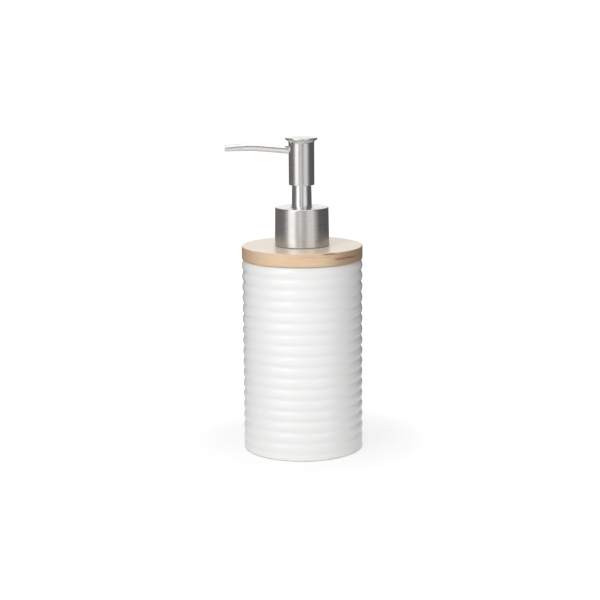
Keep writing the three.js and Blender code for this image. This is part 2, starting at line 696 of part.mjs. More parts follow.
const pieces = [
  ['ceramic_bottle', ceramicBottle(), glaze],
  ['wooden_lid', woodenLid(), lightWood],
  ['lid_seal_ring', lidSealRing(), silicone],
  ['neck_insert', neckInsert(), whitePlastic],
  ['closure_shell', closureShell(), brushedSteel],
  ['closure_cap', closureCap(), whitePlastic],
  ['closure_gasket', closureGasket(), silicone],
  ['pump_housing', pumpHousing(), naturalPlastic],
  ['stem_guide', stemGuide(), whitePlastic],
  ['stem_sleeve', stemSleeve(), polishedSteel],
  ['dip_tube', dipTube(), naturalPlastic],
  ['return_spring', returnSpring(), polishedSteel],
  ['inlet_ball', valveBall(INLET_BALL_RADIUS, INLET_BORE_RADIUS, INLET_SEAT_Z), polishedSteel],
  ['piston', piston(), softPlastic],
  ['stem', stem(), whitePlastic],
  ['piston_retainer', pistonRetainer(), whitePlastic],
  ['outlet_ball', valveBall(OUTLET_BALL_RADIUS, OUTLET_BORE_RADIUS, OUTLET_SEAT_Z),
    polishedSteel],
  ['head_core', headCore(), whitePlastic],
  ['head_shell', headShell(), brushedSteel],
  ['head_cap', headCap(), brushedSteel],
  ['spout_tube', spoutTube(), polishedSteel],
];

const dispenser = new THREE.Group();
for (const [name, geometry, finish] of pieces) {
  const mesh = new THREE.Mesh(geometry, finish);
  mesh.name = name;
  dispenser.add(mesh);
}

export default dispenser;
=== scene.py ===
"""Looks of a soap pump dispenser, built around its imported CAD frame.

The frame is in metres with +Z up, and the spout points along -X. Every piece is turned about Z
unless it says otherwise. Outlines are in millimetres: (radius, z) or (radius, z, fillet) points,
with the material on the left of the line.
"""

import json
import math
from typing import NamedTuple

import bpy
from mathutils import Matrix, Vector

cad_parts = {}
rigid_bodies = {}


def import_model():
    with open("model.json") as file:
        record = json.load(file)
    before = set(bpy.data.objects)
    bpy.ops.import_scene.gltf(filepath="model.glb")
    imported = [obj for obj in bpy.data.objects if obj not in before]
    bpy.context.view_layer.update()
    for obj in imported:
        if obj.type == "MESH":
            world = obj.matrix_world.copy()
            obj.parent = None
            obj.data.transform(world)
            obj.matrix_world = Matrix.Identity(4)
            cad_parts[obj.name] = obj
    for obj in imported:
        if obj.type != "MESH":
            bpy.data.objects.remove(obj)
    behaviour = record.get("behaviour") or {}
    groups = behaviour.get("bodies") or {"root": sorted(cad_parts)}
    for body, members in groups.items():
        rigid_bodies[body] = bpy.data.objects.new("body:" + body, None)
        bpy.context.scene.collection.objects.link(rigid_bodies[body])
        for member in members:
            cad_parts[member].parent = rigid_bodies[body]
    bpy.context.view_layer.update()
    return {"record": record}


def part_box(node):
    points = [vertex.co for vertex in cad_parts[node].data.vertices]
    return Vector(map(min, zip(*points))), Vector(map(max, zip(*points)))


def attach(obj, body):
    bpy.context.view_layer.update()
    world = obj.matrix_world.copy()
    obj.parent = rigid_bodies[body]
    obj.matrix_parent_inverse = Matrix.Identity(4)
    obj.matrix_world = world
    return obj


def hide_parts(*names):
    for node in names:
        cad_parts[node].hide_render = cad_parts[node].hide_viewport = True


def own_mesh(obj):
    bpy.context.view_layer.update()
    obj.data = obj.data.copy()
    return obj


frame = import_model()

# ---- dimensions that the frame doesn't give, in millimetres --------------------------------------

MM = 0.001

# Sides of a full turn: the bottle and lid, the other outer pieces, and the inner ones.
BOTTLE_SIDES = 192
OUTER_SIDES = 128
INNER_SIDES = 96

# Between faces that rest on each other, and between a piece and the socket it is pressed into.
SEAT_GAP = 0.05
SOCKET_GAP = 0.1

BOTTLE_INNER_RADIUS = 31.8
BOTTLE_FLOOR = 5
FLOOR_FILLET = 5
FOOT_FILLET = 0.5
LIP_FILLET = 0.8
RIB_PITCH = 6.54
RIB_DEPTH = 0.9
FIRST_VALLEY_Z = 3.75
FIRST_VALLEY_SHARE = 0.4
VALLEY_SHARE_STEP = 0.3
VALLEY_SOFTNESS = 0.14
STEPS_PER_RIB = 16

# Two points of the foot's fillet, in and up as shares of it, and the width of the flat ring inside
# it that keeps its shading to itself.
FOOT_CURVE = ((0.36, 0.25), (0.08, 0.62))
FOOT_RING_WIDTH = 0.6

LID_HOLE_RADIUS = 13.2
PLUG_RADIUS = 30.4
GROOVE_RADIUS = 28.6
GROOVE_HEIGHT = 2.8
# The seal's bore over the groove's floor, and its waist over the plug.
SEAL_BAND_LIFT = 0.15
SEAL_WAIST_LIFT = 0.2
SEAL_WAIST_WIDTH = 0.2
SEAL_LOWER_CREST = 0.5
SEAL_UPPER_CREST = 0.7

NECK_RADIUS = 12.5
NECK_BORE_RADIUS = 10.8
NECK_FLANGE_THICKNESS = 1.5
NECK_THREAD_TURNS = 1.2
NECK_THREAD_HEIGHT = 1.2
CAP_THREAD_TURNS = 1
THREAD_PITCH = 4.233
THREAD_START = 3.2
THREAD_FOOT_WIDTH = 2.4
THREAD_CREST_WIDTH = 0.9
THREAD_FADE_TURNS = 1 / 8
THREAD_STEP = 0.15

COLLAR_TOP_RADIUS = 15.85
COLLAR_WALL = 0.6
COLLAR_HOLE_RADIUS = 6.4
CAP_BORE_RADIUS = 14.1
CAP_THREAD_HEIGHT = 1.15
CAP_HOLE_RADIUS = 9.2
CAP_RECESS_RADIUS = 13.2
CAP_PLATE_THICKNESS = 2

# From the housing's top down to its flange's top, and down to the closure cap's plate above that.
FLANGE_DROP = 4.8
CAP_PLATE_DROP = 4.5
FLANGE_THICKNESS = 1.6
HOUSING_NECK_RADIUS = 8.8
CYLINDER_RADIUS = 7.7
CYLINDER_BORE_RADIUS = 6.5
CYLINDER_FLOOR = 96.8
CYLINDER_FLOOR_THICKNESS = 1
HOUSING_STEP = 1
INLET_SEAT_Z = 90.5
INLET_BORE_RADIUS = 1.5
BALL_POCKET_RADIUS = 3
SOCKET_RADIUS = 4.4
CAGE_RADIUS = 2.2
CAGE_THICKNESS = 0.8
CAGE_SLOT_WIDTH = 1.3
CAGE_SLOT_REACH = 4.2
CAGE_SLOT_MARGIN = 0.2

CHIMNEY_RADIUS = 5.1
GUIDE_DISC_THICKNESS = 1.6
GUIDE_BORE_RADIUS = 4.2
SLEEVE_TOP_RADIUS = 5.7
SLEEVE_BORE_RADIUS = 5.25

STEM_RADIUS = 4
STEM_BORE_RADIUS = 2.4
SHOULDER_THICKNESS = 1
OUTLET_SEAT_Z = 170.45
OUTLET_BORE_RADIUS = 1.3
OUTLET_BORE_LENGTH = 1
OUTLET_POCKET_RADIUS = 2.6
PISTON_WAIST_RADIUS = 5.7
PISTON_BORE_RADIUS = 4.15
PISTON_HUB_RADIUS = 5.2
PISTON_GROOVE_RADIUS = 5.4
PISTON_GROOVE_DEPTH = 0.9
PISTON_LIP_WIDTH = 0.35
PISTON_LIP_BAND = 0.8
PISTON_LIP_LENGTH = 2.2
RETAINER_BORE_RADIUS = 1.6
RETAINER_FLANGE_THICKNESS = 1.2
SPRING_TURNS = 7
SPRING_WIRE_RADIUS = 0.45
SPRING_WIRE_SIDES = 12
SPRING_STEPS_PER_TURN = 36
# At each end these turns of the spring lie flat, and rise by this many wire radii.
SPRING_FLAT_TURNS = 0.75
SPRING_FLAT_RISE = 2.1
DIP_TUBE_BORE_RADIUS = 2.4
DIP_TUBE_SLANT = 0.6

HEAD_BORE_RADIUS = 6.9
CAP_RIM_THICKNESS = 0.95
CAP_RIM_WIDTH = 1.6
TRUMPET_STEPS = 10
TRUMPET_CURVE = 2.1
CORE_PASSAGE_RADIUS = 1.7
CORE_PASSAGE_TOP = 181.45

# The spout's distances run out from the axis. It is fine round its bend and coarser near the head.
SPOUT_SIDES = 48
SPOUT_STEP = 1
SPOUT_ROOT = 4.7
SPOUT_BEND = 30
SPOUT_BEND_Z = 181.85
SPOUT_BEND_LENGTH = 8
SPOUT_RISE = 0.09
SPOUT_FALL = 0.055
SPOUT_BEND_RADIUS = 2.2
SPOUT_TIP_RADIUS = 1.8
SPOUT_WALL = 0.5
SPOUT_PASSAGE_RADIUS = 1.5
SPOUT_BORE_MARGIN = 2

RECORD = frame["record"]
BODY_OF = {
    node: body for body, nodes in RECORD["behaviour"]["bodies"].items() for node in nodes
}


class Extent(NamedTuple):
    """Outer radius, bottom and top of a turned CAD node, in millimetres."""

    radius: float
    bottom: float
    top: float


def extent(node):
    low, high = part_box(node)
    return Extent(high.y / MM, low.z / MM, high.z / MM)


# ---- camera --------------------------------------------------------------------------------------


# Place in metres, tilt below level and roll in degrees, lens and sensor width in millimetres.
CAMERA_PLACE = (-0.0015, -0.8846, 0.26072)
CAMERA_TILT = 10.92
CAMERA_ROLL = -0.44
CAMERA_LENS = 90.07
CAMERA_SENSOR = 36


def make_camera():
    """Higher than the head, in front of the dispenser and tilted a little down."""
    data = bpy.data.cameras.new("camera")
    data.sensor_width = CAMERA_SENSOR
    data.lens = CAMERA_LENS
    camera = bpy.data.objects.new("camera", data)
    place = Matrix.Translation(CAMERA_PLACE)
    tilt = Matrix.Rotation(math.radians(90 - CAMERA_TILT), 4, "X")
    roll = Matrix.Rotation(math.radians(CAMERA_ROLL), 4, "Z")
    camera.matrix_world = place @ tilt @ roll
    bpy.context.scene.collection.objects.link(camera)
    bpy.context.scene.camera = camera


# ---- mesh helpers --------------------------------------------------------------------------------

FILLET_STEPS = 5
SHARP_ANGLE = math.radians(38)
ON_AXIS = 1e-6
ROUNDING = 1e-3


def rounded(outline):
    """The outline's (radius, z) points, with a smooth arc at each corner that has a fillet."""
    line = []
    for index, (radius, z, *fillet) in enumerate(outline):
        corner = Vector((radius, z))
        if not fillet:
            line.append(corner)
            continue
        before = Vector(outline[index - 1][:2])
        after = Vector(outline[(index + 1) % len(outline)][:2])
        start = corner + (before - corner).normalized() * fillet[0]
        end = corner + (after - corner).normalized() * fillet[0]
        for step in range(FILLET_STEPS + 1):
            share = step / FILLET_STEPS
            line.append(start.lerp(corner, share).lerp(corner.lerp(end, share), share))
    return line


def lathe(outline, sides, shape=None, place=None):
    """A mesh turned about Z from an outline that starts and ends on the axis, or closes itself.

    shape(angle, radius, z) gives each point's own radius, and place(x, y, z) its own position.
    """
    line = rounded(outline)
    rings = []
    points = []
    for radius, z in line:
        if radius < ON_AXIS:
            rings.append([len(points)] * sides)
            points.append((0, 0, z))
            continue
        rings.append(range(len(points), len(points) + sides))
        for side in range(sides):
            angle = 2 * math.pi * side / sides
            own = shape(angle, radius, z) if shape else radius
            points.append((own * math.cos(angle), own * math.sin(angle), z))
    if place:
        points = [place(*point) for point in points]
    if line[0][0] >= ON_AXIS:
        rings.append(rings[0])
    faces = []
    for lower, upper in zip(rings, rings[1:]):
        for side in range(sides):
            beside = (side + 1) % sides
            face = (lower[side], lower[beside], upper[beside], upper[side])
            faces.append(tuple(dict.fromkeys(face)))
    return new_mesh(points, faces)


def new_mesh(points, faces):
    """A mesh in metres from points in millimetres."""
    mesh = bpy.data.meshes.new("turned")
    mesh.from_pydata([Vector(point) * MM for point in points], [], faces)
    mesh.update()
    return mesh


def stretch(start, end, step):
    """Evenly spaced points from one outline point up to the next, which is left out."""
    start, end = Vector(start), Vector(end)
    count = max(1, round((end - start).length / step))
    return [tuple(start.lerp(end, index / count)) for index in range(count)]


def cut(mesh, tool):
    """The mesh with the tool's volume cut out of it."""
    scene = bpy.context.scene.collection.objects
    body = bpy.data.objects.new("body", mesh)
    knife = bpy.data.objects.new("knife", tool)
    scene.link(body)
    scene.link(knife)
    modifier = body.modifiers.new("cut", "BOOLEAN")
    modifier.operation = "DIFFERENCE"
    modifier.solver = "EXACT"
    modifier.object = knife
    graph = bpy.context.evaluated_depsgraph_get()
    result = bpy.data.meshes.new_from_object(body.evaluated_get(graph))
    bpy.data.objects.remove(body)
    bpy.data.objects.remove(knife)
    return result


def add_piece(node, mesh, material):
    """Shows the mesh in place of a CAD node, on the same body, with the given material."""
    piece = bpy.data.objects.new(f"{node}_fine", mesh)
    bpy.context.scene.collection.objects.link(piece)
    mesh.materials.clear()
    mesh.materials.append(material)
    mesh.shade_smooth()
    mesh.set_sharp_from_angle(angle=SHARP_ANGLE)
    shading = piece.modifiers.new("even_shading", "WEIGHTED_NORMAL")
    shading.keep_sharp = True
    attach(piece, BODY_OF[node])
    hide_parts(node)
    return piece


# ---- bottle and lid ------------------------------------------------------------------------------


def rib_radius(z):
    """Radius of the bottle's wall at a height: round ribs that meet in narrow, glazed valleys.

    The lowest valleys are shallower, so the ribs fade out above the foot.
    """
    outer = extent("ceramic_bottle").radius
    ribs_up = (z - FIRST_VALLEY_Z) / RIB_PITCH
    valley = round(ribs_up)
    depth = RIB_DEPTH * min(1, FIRST_VALLEY_SHARE + VALLEY_SHARE_STEP * valley)
    off = math.hypot(2 * (ribs_up - valley), VALLEY_SOFTNESS) - VALLEY_SOFTNESS
    most = math.hypot(1, VALLEY_SOFTNESS) - VALLEY_SOFTNESS
    return outer - depth * (1 - off / most) ** 2


def ceramic_bottle():
    outer, bottom, top = extent("ceramic_bottle")
    wall_top = top - LIP_FILLET
    count = round((wall_top - FOOT_FILLET) / RIB_PITCH * STEPS_PER_RIB)
    heights = [FOOT_FILLET + (wall_top - FOOT_FILLET) * step / count for step in range(count)]
    lip_radius = outer - RIB_DEPTH
    foot = [(outer - inward * FOOT_FILLET, bottom + up * FOOT_FILLET) for inward, up in FOOT_CURVE]
    outline = [
        (0, bottom),
        (outer - FOOT_FILLET - FOOT_RING_WIDTH, bottom),
        (outer - FOOT_FILLET, bottom),
        *foot,
        *[(rib_radius(z), z) for z in heights],
        (lip_radius, top, LIP_FILLET),
        (BOTTLE_INNER_RADIUS, top, LIP_FILLET),
        (BOTTLE_INNER_RADIUS, BOTTLE_FLOOR, FLOOR_FILLET),
        (0, BOTTLE_FLOOR),
    ]
    return lathe(outline, BOTTLE_SIDES)


def wooden_lid():
    radius, bottom, top = extent("wooden_lid")
    rim = extent("ceramic_bottle").top + SEAT_GAP
    groove = bottom + (rim - SEAT_GAP - bottom - GROOVE_HEIGHT) / 2
    return lathe([
        (LID_HOLE_RADIUS, bottom, 0.2),
        (PLUG_RADIUS, bottom, 0.6),
        (PLUG_RADIUS, groove, 0.2),
        (GROOVE_RADIUS, groove, 0.15),
        (GROOVE_RADIUS, groove + GROOVE_HEIGHT, 0.15),
        (PLUG_RADIUS, groove + GROOVE_HEIGHT, 0.2),
        (PLUG_RADIUS, rim, 0.3),
        (radius, rim, 0.7),
        (radius, top, 0.45),
        (LID_HOLE_RADIUS, top, 0.2),
    ], BOTTLE_SIDES)


def lid_seal_ring():
    """Two soft crests with a waist between them, measured from the bottom and the middle."""
    radius, bottom, top = extent("lid_seal_ring")
    band = GROOVE_RADIUS + SEAL_BAND_LIFT
    waist = PLUG_RADIUS + SEAL_WAIST_LIFT
    middle = (bottom + top) / 2
    return lathe([
        (band, bottom),
        (waist, bottom, 0.2),
        (radius, bottom + SEAL_LOWER_CREST, 0.2),
        (waist, middle - SEAL_WAIST_WIDTH / 2, 0.1),
        (waist, middle + SEAL_WAIST_WIDTH / 2, 0.1),
        (radius, middle + SEAL_UPPER_CREST, 0.2),
        (waist, top, 0.2),
        (band, top),
    ], BOTTLE_SIDES)


def same(first, second):
    """Whether two lengths are equal but for their rounding."""
    return abs(first - second) < ROUNDING


def thread(start_turn, turns, height):
    """The radius added by a right-handed thread ridge at an angle and height, as a function.

    Its flanks are smooth, and it fades into the wall at both ends.
    """
    start_z = extent("wooden_lid").top + THREAD_START
    flank = (THREAD_FOOT_WIDTH - THREAD_CREST_WIDTH) / 2

    def ridge(angle, z):
        first = (angle / (2 * math.pi) - start_turn) % 1
        most = 0
        for turn in (first, first + 1):
            ends = min(turn, turns - turn) / THREAD_FADE_TURNS
            aside = abs(z - start_z - turn * THREAD_PITCH)
            rise = (THREAD_FOOT_WIDTH / 2 - aside) / flank
            share = max(0, min(1, ends)) * max(0, min(1, rise))
            most = max(most, share * share * (3 - 2 * share))
        return height * most

    return ridge


def neck_insert():
    """The neck's thread stands on the wall above the lid."""
    flange_radius, bottom, top = extent("neck_insert")
    lid_top = extent("wooden_lid").top
    flange_top = bottom + NECK_FLANGE_THICKNESS
    glued_radius = LID_HOLE_RADIUS - 2 * SOCKET_GAP
    ridge = thread(0, NECK_THREAD_TURNS, NECK_THREAD_HEIGHT)

    def shape(angle, radius, z):
        return radius + ridge(angle, z) if same(radius, NECK_RADIUS) else radius

    return lathe([
        (NECK_BORE_RADIUS, bottom, 0.3),
        (flange_radius, bottom, 0.3),
        (flange_radius, flange_top, 0.3),
        (glued_radius, flange_top),
        (glued_radius, lid_top, 0.1),
        *stretch((NECK_RADIUS, lid_top), (NECK_RADIUS, top - 0.4), THREAD_STEP),
        (NECK_RADIUS, top, 0.4),
        (NECK_BORE_RADIUS, top, 0.3),
    ], OUTER_SIDES, shape)


# ---- closure -------------------------------------------------------------------------------------


def closure_shell():
    """A drawn steel cup with a rounded top edge and a turned-in hole for the sleeve."""
    radius, bottom, top = extent("closure_shell")
    inner_top = top - COLLAR_WALL
    return lathe([
        (radius - COLLAR_WALL, bottom, 0.2),
        (radius, bottom, 0.25),
        (COLLAR_TOP_RADIUS, top, 0.7),
        (COLLAR_HOLE_RADIUS, top, 0.15),
        (COLLAR_HOLE_RADIUS, inner_top, 0.15),
        (COLLAR_TOP_RADIUS - COLLAR_WALL, inner_top, 0.4),
    ], OUTER_SIDES)


def closure_cap():
    """The cap's thread stands inward on its bore."""
    radius, bottom, top = extent("closure_cap")
    plate_bottom = extent("pump_housing").top - CAP_PLATE_DROP
    plate_top = plate_bottom + CAP_PLATE_THICKNESS
    ridge = thread(0.5, CAP_THREAD_TURNS, CAP_THREAD_HEIGHT)

    def shape(angle, own_radius, z):
        return own_radius - ridge(angle, z) if same(own_radius, CAP_BORE_RADIUS) else own_radius

    return lathe([
        *stretch((CAP_BORE_RADIUS, plate_bottom), (CAP_BORE_RADIUS, bottom), THREAD_STEP),
        (CAP_BORE_RADIUS, bottom),
        (radius, bottom, 0.2),
        (radius, top, 0.3),
        (CAP_RECESS_RADIUS, top, 0.2),
        (CAP_RECESS_RADIUS, plate_top, 0.4),
        (CAP_HOLE_RADIUS, plate_top, 0.2),
        (CAP_HOLE_RADIUS, plate_bottom, 0.2),
    ], OUTER_SIDES, shape)


def closure_gasket():
    radius, bottom, top = extent("closure_gasket")
    bore = NECK_BORE_RADIUS + 2 * SOCKET_GAP
    return lathe([
        (bore, bottom, 0.15),
        (radius, bottom, 0.15),
        (radius, top, 0.15),
        (bore, top, 0.15),
    ], INNER_SIDES)


# ---- pump ----------------------------------------------------------------------------------------


def pump_housing():
    """The cylinder, with a flange near its top and a caged ball seat and tube socket below.

    Two crossed slots in the cage let soap past the ball while it is up.
    """
    flange_radius, bottom, top = extent("pump_housing")
    flange_top = top - FLANGE_DROP
    flange_bottom = flange_top - FLANGE_THICKNESS
    cone_top = INLET_SEAT_Z + BALL_POCKET_RADIUS - INLET_BORE_RADIUS
    socket_top = INLET_SEAT_Z - INLET_BORE_RADIUS
    guide_bottom = extent("stem_guide").bottom
    tube_radius = extent("dip_tube").radius + SOCKET_GAP
    cage_bottom = CYLINDER_FLOOR - CAGE_THICKNESS
    body = lathe([
        (tube_radius, bottom, 0.25),
        (SOCKET_RADIUS, bottom, 0.25),
        (SOCKET_RADIUS, cone_top, 0.5),
        (CYLINDER_RADIUS, CYLINDER_FLOOR - CYLINDER_FLOOR_THICKNESS, 0.8),
        (CYLINDER_RADIUS, guide_bottom, 0.3),
        (HOUSING_NECK_RADIUS, guide_bottom + HOUSING_STEP, 0.3),
        (HOUSING_NECK_RADIUS, flange_bottom, 0.3),
        (flange_radius, flange_bottom, 0.2),
        (flange_radius, flange_top, 0.2),
        (HOUSING_NECK_RADIUS, flange_top, 0.3),
        (HOUSING_NECK_RADIUS, top, 0.3),
        (CYLINDER_BORE_RADIUS, top, 0.3),
        (CYLINDER_BORE_RADIUS, CYLINDER_FLOOR, 0.5),
        (CAGE_RADIUS, CYLINDER_FLOOR, 0.2),
        (CAGE_RADIUS, cage_bottom),
        (BALL_POCKET_RADIUS, cage_bottom),
        (BALL_POCKET_RADIUS, cone_top),
        (INLET_BORE_RADIUS, INLET_SEAT_Z),
        (INLET_BORE_RADIUS, socket_top),
        (tube_radius, socket_top),
    ], INNER_SIDES)
    for across in (False, True):
        body = cut(body, cage_slot(cage_bottom, across))
    return body


def cage_slot(middle, across):
    """A bar with the shape of one slot through the cage, along X or across it."""
    half_width = CAGE_SLOT_WIDTH / 2
    half_height = CAGE_THICKNESS + CAGE_SLOT_MARGIN
    points = []
    for end in (-CAGE_SLOT_REACH, CAGE_SLOT_REACH):
        for side in (-half_width, half_width):
            for level in (middle - half_height, middle + half_height):
                points.append((side, end, level) if across else (end, side, level))
    faces = [(0, 1, 3, 2), (4, 6, 7, 5), (0, 4, 5, 1), (2, 3, 7, 6), (0, 2, 6, 4), (1, 5, 7, 3)]
    if across:
        faces = [face[::-1] for face in faces]
    return new_mesh(points, faces)


def stem_guide():
    disc_radius, bottom, top = extent("stem_guide")
    disc_bottom = extent("pump_housing").top + SEAT_GAP
    disc_top = disc_bottom + GUIDE_DISC_THICKNESS
    plug_radius = CYLINDER_BORE_RADIUS - SOCKET_GAP - SEAT_GAP
    return lathe([
        (GUIDE_BORE_RADIUS, bottom, 0.3),
        (plug_radius, bottom, 0.4),
        (plug_radius, disc_bottom, 0.2),
        (disc_radius, disc_bottom, 0.3),
        (disc_radius, disc_top, 0.3),
        (CHIMNEY_RADIUS, disc_top),
        (CHIMNEY_RADIUS, top, 0.3),
        (GUIDE_BORE_RADIUS, top, 0.3),
    ], INNER_SIDES)


def stem_sleeve():
    foot_radius, bottom, top = extent("stem_sleeve")
    collar_top = extent("closure_shell").top
    return lathe([
        (SLEEVE_BORE_RADIUS, bottom),
        (foot_radius, bottom),
        (foot_radius, collar_top),
        (SLEEVE_TOP_RADIUS, top, 0.2),
        (SLEEVE_BORE_RADIUS, top, 0.15),
    ], OUTER_SIDES)


def dip_tube():
    """An extruded tube whose lower end is cut on a slant."""
    radius, bottom, top = extent("dip_tube")

    def place(x, y, z):
        share = (top - z) / (top - bottom)
        return x, y, z + share * DIP_TUBE_SLANT * (radius + x)

    return lathe([
        (DIP_TUBE_BORE_RADIUS, bottom, 0.08),
        (radius, bottom, 0.12),
        *stretch((radius, bottom + 1), (radius, top), 4),
        (radius, top, 0.12),
        (DIP_TUBE_BORE_RADIUS, top, 0.08),
    ], INNER_SIDES, place=place)


def piston():
    """Both lips are feathered and the waist between them is clear of the cylinder."""
    radius, bottom, top = extent("piston")
    return lathe([
        (PISTON_BORE_RADIUS, bottom, 0.2),
        (PISTON_HUB_RADIUS, bottom, 0.2),
        (PISTON_GROOVE_RADIUS, bottom + PISTON_GROOVE_DEPTH, 0.3),
        (radius - PISTON_LIP_WIDTH, bottom, 0.1),
        (radius, bottom, 0.12),
        (radius, bottom + PISTON_LIP_BAND, 0.3),
        (PISTON_WAIST_RADIUS, bottom + PISTON_LIP_LENGTH, 0.6),
        (PISTON_WAIST_RADIUS, top - PISTON_LIP_LENGTH, 0.6),
        (radius, top - PISTON_LIP_BAND, 0.3),
        (radius, top, 0.12),
        (radius - PISTON_LIP_WIDTH, top, 0.1),
        (PISTON_GROOVE_RADIUS, top - PISTON_GROOVE_DEPTH, 0.3),
        (PISTON_HUB_RADIUS, top, 0.2),
        (PISTON_BORE_RADIUS, top, 0.2),
    ], INNER_SIDES)


def stem():
    """A hollow stem with a shoulder over the piston and a ball pocket in its top."""
    shoulder_radius, bottom, top = extent("stem")
    shoulder_bottom = extent("piston").top + 2 * SEAT_GAP
    shoulder_top = shoulder_bottom + SHOULDER_THICKNESS
    cone_top = OUTLET_SEAT_Z + OUTLET_POCKET_RADIUS - OUTLET_BORE_RADIUS
    return lathe([
        (STEM_BORE_RADIUS, bottom, 0.2),
        (STEM_RADIUS, bottom, 0.3),
        (STEM_RADIUS, shoulder_bottom, 0.1),
        (shoulder_radius, shoulder_bottom, 0.2),
        (shoulder_radius, shoulder_top, 0.2),
        (STEM_RADIUS, shoulder_top, 0.3),
        (STEM_RADIUS, top, 0.4),
        (OUTLET_POCKET_RADIUS, top, 0.3),
        (OUTLET_POCKET_RADIUS, cone_top, 0.2),
        (OUTLET_BORE_RADIUS, OUTLET_SEAT_Z, 0.15),
        (OUTLET_BORE_RADIUS, OUTLET_SEAT_Z - OUTLET_BORE_LENGTH, 0.2),
        (STEM_BORE_RADIUS, OUTLET_SEAT_Z - 2 * OUTLET_BORE_LENGTH, 0.3),
    ], INNER_SIDES)


def piston_retainer():
    flange_radius, bottom, top = extent("piston_retainer")
    flange_top = bottom + RETAINER_FLANGE_THICKNESS
    plug_radius = STEM_BORE_RADIUS - SOCKET_GAP
    return lathe([
        (RETAINER_BORE_RADIUS, bottom, 0.15),
        (flange_radius, bottom, 0.3),
        (flange_radius, flange_top, 0.15),
        (plug_radius, flange_top, 0.1),
        (plug_radius, top, 0.3),
        (RETAINER_BORE_RADIUS, top, 0.1),
    ], INNER_SIDES)


def spring_height(t, bottom, height):
    """Height of the wire's centre at a share t of the wire's length, from 0 to 1."""
    flat_share = SPRING_FLAT_TURNS / SPRING_TURNS
    flat_rise = SPRING_FLAT_RISE * SPRING_WIRE_RADIUS / height
    rise = max(0, min(1, (t - flat_share) / (1 - 2 * flat_share)))
    flat_part = min(t, flat_share) + max(0, t - 1 + flat_share)
    return bottom + height * ((1 - 2 * flat_rise) * rise + flat_rise * flat_part / flat_share)


def return_spring():
    """Round wire wound on a helix, with plainly cut ends."""
    radius, bottom, top = extent("return_spring")
    coil_radius = radius - SPRING_WIRE_RADIUS
    wire_bottom = bottom + SPRING_WIRE_RADIUS
    height = top - bottom - 2 * SPRING_WIRE_RADIUS
    wire_sides = SPRING_WIRE_SIDES
    steps = SPRING_TURNS * SPRING_STEPS_PER_TURN
    points = []
    for step in range(steps + 1):
        angle = step / steps * SPRING_TURNS * 2 * math.pi
        z = spring_height(step / steps, wire_bottom, height)
        for side in range(wire_sides):
            around = 2 * math.pi * side / wire_sides
            out = coil_radius + SPRING_WIRE_RADIUS * math.cos(around)
            lift = SPRING_WIRE_RADIUS * math.sin(around)
            points.append((out * math.cos(angle), out * math.sin(angle), z + lift))
    faces = [tuple(range(wire_sides)), tuple(range(len(points) - 1, steps * wire_sides - 1, -1))]
    for step in range(steps):
        for side in range(wire_sides):
            here = step * wire_sides + side
            beside = step * wire_sides + (side + 1) % wire_sides
            faces.append((here, here + wire_sides, beside + wire_sides, beside))
    return new_mesh(points, faces)


def valve_ball(node):
    radius, bottom, _ = extent(node)
    steps = 32
    outline = [(0, bottom)]
    for step in range(1, steps):
        angle = math.pi * step / steps
        outline.append((radius * math.sin(angle), bottom + radius * (1 - math.cos(angle))))
    outline.append((0, bottom + 2 * radius))
    return lathe(outline, 2 * steps)


# ---- head ----------------------------------------------------------------------------------------


def spout_height(distance):
    """Height of the spout's centre line: it rises to the bend and then falls a little."""
    past = distance - SPOUT_BEND
    crown = SPOUT_BEND_LENGTH / 2
    corner = math.hypot(past, crown) - crown
    fold = (SPOUT_RISE + SPOUT_FALL) / 2
    return SPOUT_BEND_Z - fold * corner + (SPOUT_RISE - SPOUT_FALL) / 2 * past


def along_spout(x, y, z):
    """A point of a body turned about Z, laid along the spout, where z becomes distance."""
    return -z, y, spout_height(z) + x


def spout_tube():
    """A thin drawn tube, tapered past its bend, with a deburred tip."""
    low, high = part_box("spout_tube")
    root_radius = high.y / MM
    tip = -low.x / MM
    head = extent("head_shell").radius
    slim_start = SPOUT_BEND - 2 * SPOUT_BEND_LENGTH
    taper_start = SPOUT_BEND + SPOUT_BEND_LENGTH / 2
    outer = [
        (root_radius, SPOUT_ROOT),
        *stretch((root_radius, head), (SPOUT_BEND_RADIUS, slim_start), 2 * SPOUT_STEP),
        *stretch((SPOUT_BEND_RADIUS, slim_start), (SPOUT_BEND_RADIUS, taper_start), SPOUT_STEP),
        *stretch((SPOUT_BEND_RADIUS, taper_start), (SPOUT_TIP_RADIUS, tip), SPOUT_STEP),
    ]
    inner = [(radius - SPOUT_WALL, distance) for radius, distance in reversed(outer)]
    tip_edge = [(SPOUT_TIP_RADIUS, tip, 0.15), (SPOUT_TIP_RADIUS - SPOUT_WALL, tip, 0.12)]
    return lathe([*outer, *tip_edge, *inner], SPOUT_SIDES, place=along_spout)


def spout_bore():
    """The hole for the spout's root, with a narrower passage on to the axis."""
    low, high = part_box("spout_tube")
    bore = high.y / MM + SOCKET_GAP + SEAT_GAP
    shelf = SPOUT_ROOT - 2 * SOCKET_GAP
    far = extent("head_shell").radius + SPOUT_BORE_MARGIN
    passage = SPOUT_PASSAGE_RADIUS
    return lathe([
        (0, 0),
        (passage, 0),
        (passage, shelf),
        (bore, shelf),
        (bore, far),
        (0, far),
    ], SPOUT_SIDES, place=along_spout)


def head_core():
    radius, bottom, top = extent("head_core")
    socket_top = extent("stem").top + 2 * SEAT_GAP
    socket_radius = STEM_RADIUS + SOCKET_GAP
    body = lathe([
        (0, CORE_PASSAGE_TOP),
        (CORE_PASSAGE_RADIUS, CORE_PASSAGE_TOP),
        (CORE_PASSAGE_RADIUS, socket_top),
        (socket_radius, socket_top),
        (socket_radius, bottom, 0.3),
        (radius, bottom, 0.4),
        (radius, top, 0.3),
        (0, top),
    ], INNER_SIDES)
    return cut(body, spout_bore())


